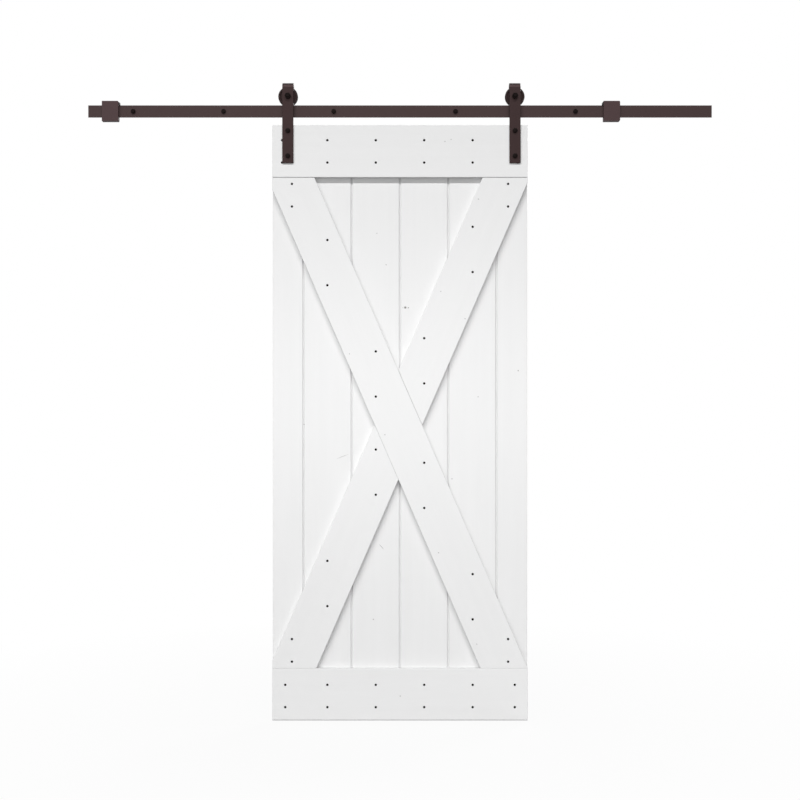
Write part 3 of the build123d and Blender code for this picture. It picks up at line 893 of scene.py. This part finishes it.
class DOOR_OT_boards(bpy.types.Operator):
    """Eases the boards' long edges and paints them, with the grain along each board"""

    bl_idname = "barn_door.boards"
    bl_label = "Paint the boards"

    def execute(self, context):
        finish = context.scene.door_finish
        easing = context.scene.door_detail.board_easing
        marks = marks_group()
        for grain, names in boards_by_grain.items():
            paint = board_paint(
                f"White paint {grain}", grain_turns[grain], edge_shade_tones[grain], finish, marks
            )
            for name in names:
                board = merged_copy(name)
                if name == "bottom_rail":
                    cut_off(board, (0, leaf_front, rail_chamfer), (0, -1, -1))
                ease(board, easing, is_long)
                if "brace" in name:
                    shorten_top(board, leaf_high.z - rail_height, joint_gap)
                stand_in(board, name, paint)
        return {"FINISHED"}


class DOOR_OT_wood_screws(bpy.types.Operator):
    """Blackens the countersunk screws of the rails and braces"""

    bl_idname = "barn_door.wood_screws"
    bl_label = "Finish the wood screws"

    def execute(self, context):
        black = satin_black("Black oxide screws", context.scene.door_finish.fastener_black)
        coat(black, "top_rail_screws", "bottom_rail_screws", "brace_screws")
        return {"FINISHED"}


class DOOR_OT_straps(bpy.types.Operator):
    """Rounds the edges of the two bent straps and coats them"""

    bl_idname = "barn_door.straps"
    bl_label = "Finish the straps"

    def execute(self, context):
        bronze = powder_coat("Strap bronze", context.scene.door_finish.strap_bronze, strap_sheen)
        easing = context.scene.door_detail.strap_easing
        for name in ("left_strap", "right_strap"):
            low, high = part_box(name)
            reach = (high.x - low.x) / 2 - strap_edge_reach
            middle = (low.x + high.x) / 2
            strap = merged_copy(name)
            ease(
                strap,
                easing,
                lambda start, end: min(abs(start.x - middle), abs(end.x - middle)) > reach,
            )
            stand_in(strap, name, bronze)
        return {"FINISHED"}


class DOOR_OT_strap_bolts(bpy.types.Operator):
    """Makes the threaded bolts and nuts that hold the straps to the leaf"""

    bl_idname = "barn_door.strap_bolts"
    bl_label = "Make the strap bolts"

    def execute(self, context):
        black = satin_black("Black strap bolts", context.scene.door_finish.fastener_black)
        zinc = bare_metal("Zinc plate on nuts and washers", zinc_plate, 0.36, 700)
        detail = context.scene.door_detail
        size = strap_fastener
        for side in ("left", "right"):
            strap_low, strap_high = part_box(f"{side}_strap")
            bolts_low, bolts_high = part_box(f"{side}_strap_bolts")
            nuts_low, nuts_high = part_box(f"{side}_strap_nuts")
            x = (strap_low.x + strap_high.x) / 2
            seat = strap_low.y
            bolt = threaded_bolt(
                "strap_bolt",
                size,
                detail.strap_bolt_pitch,
                head_height=seat - bolts_low.y,
                grip=leaf_back - seat,
                reach=bolts_high.y - seat,
                detail=detail,
            )
            places = [(x, seat, height) for height in strap_bolt_heights]
            stand_in(placed_copies(bolt, places, facing_turn), f"{side}_strap_bolts", black)
            height = nuts_high.y - nuts_low.y
            nut = hexagon("strap_nut", size.flats, height, detail.corner_easing, bore=size.bore)
            places = [(x, nuts_low.y, height) for height in strap_bolt_heights]
            stand_in(placed_copies(nut, places, backing_turn), f"{side}_strap_nuts", zinc)
            coat(zinc, f"{side}_strap_washers")
        return {"FINISHED"}


class DOOR_OT_axles(bpy.types.Operator):
    """Makes the wheels' threaded axles and their nuts, and finishes the sleeves"""

    bl_idname = "barn_door.axles"
    bl_label = "Make the axles"

    def execute(self, context):
        black = satin_black("Black axle bolts", context.scene.door_finish.fastener_black)
        zinc = bare_metal("Zinc plate on sleeves", zinc_plate, 0.34, 600)
        detail = context.scene.door_detail
        size = axle_fastener
        for side in ("left", "right"):
            bolt_low, bolt_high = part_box(f"{side}_axle_bolt")
            nut_low, nut_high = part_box(f"{side}_axle_nut")
            x = (nut_low.x + nut_high.x) / 2
            level = (nut_low.z + nut_high.z) / 2
            back_seat = 2 * wheel_line - nut_high.y
            bolt = threaded_bolt(
                "axle_bolt",
                size,
                detail.axle_pitch,
                head_height=bolt_high.y - back_seat,
                grip=back_seat - nut_high.y - axle_thread_lead,
                reach=back_seat - bolt_low.y,
                detail=detail,
            )
            axle = placed_copies(bolt, [(x, back_seat, level)], backing_turn)
            stand_in(axle, f"{side}_axle_bolt", black)
            height = nut_high.y - nut_low.y
            nut = hexagon("axle_nut", size.flats, height, detail.corner_easing, bore=size.bore)
            nut = placed_copies(nut, [(x, nut_high.y, level)], facing_turn)
            stand_in(nut, f"{side}_axle_nut", black)
            coat(zinc, f"{side}_axle_sleeves")
        return {"FINISHED"}


class DOOR_OT_wheels(bpy.types.Operator):
    """Coats the grooved wheels and finishes their bearings and retaining rings"""

    bl_idname = "barn_door.wheels"
    bl_label = "Finish the wheels"

    def execute(self, context):
        bronze = context.scene.door_finish.wheel_bronze
        ground = bare_metal("Ground bearing steel", bearing_steel, 0.24, 1600)
        spring = bare_metal("Phosphated spring steel", spring_steel, 0.42, 1200)
        seal = moulded_rubber("Bearing seal rubber", seal_rubber)
        for side in ("left", "right"):
            low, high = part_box(f"{side}_wheel")
            coat(wheel_coat(f"Wheel bronze {side}", bronze, (low + high) / 2), f"{side}_wheel")
            for part in ("inner_race", "outer_race", "bearing_balls", "ball_cage"):
                coat(ground, f"{side}_{part}")
            coat(seal, f"{side}_bearing_seals")
            coat(spring, f"{side}_retaining_ring")
        return {"FINISHED"}


class DOOR_OT_track(bpy.types.Operator):
    """Coats the track and makes its threaded lag bolts"""

    bl_idname = "barn_door.track"
    bl_label = "Finish the track"

    def execute(self, context):
        finish = context.scene.door_finish
        detail = context.scene.door_detail
        bronze = powder_coat("Track bronze", finish.track_bronze, track_sheen, roughness=0.5)
        coat(bronze, "track", "standoffs")
        black = satin_black("Black lag bolts", finish.fastener_black)
        bolts_low, bolts_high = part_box("lag_bolts")
        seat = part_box("lag_washers")[0].y
        bolt = threaded_bolt(
            "lag_bolt",
            lag_fastener,
            detail.lag_pitch,
            head_height=seat - bolts_low.y,
            grip=standoff_back - seat,
            reach=bolts_high.y - seat,
            detail=detail,
        )
        places = [(x, seat, track_middle) for x in lag_places]
        stand_in(placed_copies(bolt, places, facing_turn), "lag_bolts", black)
        coat(black, "lag_washers")
        return {"FINISHED"}


class DOOR_OT_stops(bpy.types.Operator):
    """Coats the end stops and finishes their rubber pads and grub screws"""

    bl_idname = "barn_door.stops"
    bl_label = "Finish the stops"

    def execute(self, context):
        finish = context.scene.door_finish
        bronze = powder_coat("Stop bronze", finish.stop_bronze, stop_sheen, roughness=0.5)
        coat(bronze, "left_stop", "right_stop")
        coat(moulded_rubber("Bumper rubber", bumper_rubber), "left_bumper", "right_bumper")
        coat(satin_black("Black grub screws", finish.fastener_black), "stop_screws")
        return {"FINISHED"}


def set_camera(scene, stage):
    """Puts the camera in front of the door, with the width that it takes in at the leaf's front."""
    camera = bpy.data.objects.new("Camera", bpy.data.cameras.new("Camera"))
    bpy.context.collection.objects.link(camera)
    camera.location = (0, leaf_front - stage.camera_distance, camera_height)
    camera.rotation_euler = (pi / 2, 0, 0)
    camera.data.lens = camera.data.sensor_width * stage.camera_distance / stage.view_width
    camera.data.clip_end = camera_clip
    scene.camera = camera


def add_area_light(name, place, target, size, power, beam):
    """A rectangular light that looks at a point, its beam so many degrees wide."""
    light = bpy.data.lights.new(name, "AREA")
    light.shape = "RECTANGLE"
    light.size, light.size_y = size
    light.energy = power
    light.spread = radians(beam)
    lamp = bpy.data.objects.new(name, light)
    lamp.visible_camera = False
    bpy.context.collection.objects.link(lamp)
    lamp.location = place
    lamp.rotation_euler = (Vector(target) - Vector(place)).to_track_quat("-Z", "Y").to_euler()


def seen_directly(tree):
    """1 where the camera, a reflection or a see-through surface looks at the background."""
    rays = add_node(tree, "ShaderNodeLightPath").outputs
    seen = combine(tree, "MAXIMUM", rays["Is Camera Ray"], rays["Is Glossy Ray"])
    return combine(tree, "MAXIMUM", seen, rays["Is Transmission Ray"])


def set_world(scene, level):
    """Grey light from all round, behind a background that shows white."""
    world = bpy.data.worlds.new("White studio")
    scene.world = world
    world.use_nodes = True
    tree = world.node_tree
    shown = blend(tree, seen_directly(tree), grey(level), grey(1))
    tree.links.new(shown, tree.nodes["Background"].inputs["Color"])


def floor_material():
    """Pale matt floor that keeps the door's shadow and goes over into the white background."""
    material, tree, pale, place = new_material(
        "Pale studio floor", Roughness=0.9, Specular_IOR_Level=0.1
    )
    grain = noise(tree, place, 240, detail=4)
    tint = blend(tree, grain, *(grey(level) for level in floor_greys))
    tree.links.new(tint, pale.inputs["Base Color"])
    distance = combine_vectors(tree, "LENGTH", place)["Value"]
    whiteness = spread(tree, distance, white_share_near, white_share_far, white_from, white_to)
    white = add_node(tree, "ShaderNodeEmission", {"Color": grey(1), "Strength": 1})
    share = combine(tree, "MULTIPLY", seen_directly(tree), whiteness)
    inputs = {0: share, 1: pale.outputs["BSDF"], 2: white.outputs["Emission"]}
    mixed = add_node(tree, "ShaderNodeMixShader", inputs)
    tree.links.new(mixed.outputs["Shader"], tree.nodes["Material Output"].inputs["Surface"])
    return material


def lay_floor():
    """A round floor just below the door."""
    bpy.ops.object.select_all(action="DESELECT")
    bpy.ops.mesh.primitive_circle_add(
        vertices=96, radius=floor_radius, fill_type="NGON", location=(0, 0, -floor_drop)
    )
    floor = bpy.context.object
    floor.name = "floor"
    bpy.ops.object.transform_apply()
    floor.data.materials.append(floor_material())


class DOOR_OT_stage(bpy.types.Operator):
    """Sets up the camera, the lights, the white background and the floor"""

    bl_idname = "barn_door.stage"
    bl_label = "Set the stage"

    def execute(self, context):
        scene = context.scene
        stage = scene.door_stage
        set_camera(scene, stage)
        for name, place, target, size, power, beam in lights:
            add_area_light(name, place, target, size, getattr(stage, power), beam)
        set_world(scene, stage.world_level)
        lay_floor()
        scene.view_settings.view_transform = "Standard"
        return {"FINISHED"}


pieces_in_order = (
    DOOR_OT_boards,
    DOOR_OT_wood_screws,
    DOOR_OT_straps,
    DOOR_OT_strap_bolts,
    DOOR_OT_axles,
    DOOR_OT_wheels,
    DOOR_OT_track,
    DOOR_OT_stops,
    DOOR_OT_stage,
)


class DOOR_PT_panel(bpy.types.Panel):
    """Lists the door's pieces and its settings"""

    bl_idname = "DOOR_PT_panel"
    bl_label = "Barn door"
    bl_space_type = "VIEW_3D"
    bl_region_type = "UI"
    bl_category = "Barn door"

    def draw(self, context):
        scene = context.scene
        for group in (scene.door_finish, scene.door_detail, scene.door_stage):
            box = self.layout.box()
            for name in group.__annotations__:
                box.prop(group, name)
        for operator in pieces_in_order:
            self.layout.operator(operator.bl_idname)


classes = (DoorFinish, DoorDetail, DoorStage, *pieces_in_order, DOOR_PT_panel)


def register():
    for item in classes:
        bpy.utils.register_class(item)
    bpy.types.Scene.door_finish = PointerProperty(type=DoorFinish)
    bpy.types.Scene.door_detail = PointerProperty(type=DoorDetail)
    bpy.types.Scene.door_stage = PointerProperty(type=DoorStage)


def unregister():
    del bpy.types.Scene.door_stage
    del bpy.types.Scene.door_detail
    del bpy.types.Scene.door_finish
    for item in reversed(classes):
        bpy.utils.unregister_class(item)


def main():
    register()
    bpy.ops.barn_door.boards()
    bpy.ops.barn_door.wood_screws()
    bpy.ops.barn_door.straps()
    bpy.ops.barn_door.strap_bolts()
    bpy.ops.barn_door.axles()
    bpy.ops.barn_door.wheels()
    bpy.ops.barn_door.track()
    bpy.ops.barn_door.stops()
    bpy.ops.barn_door.stage()


if __name__ == "__main__":
    main()
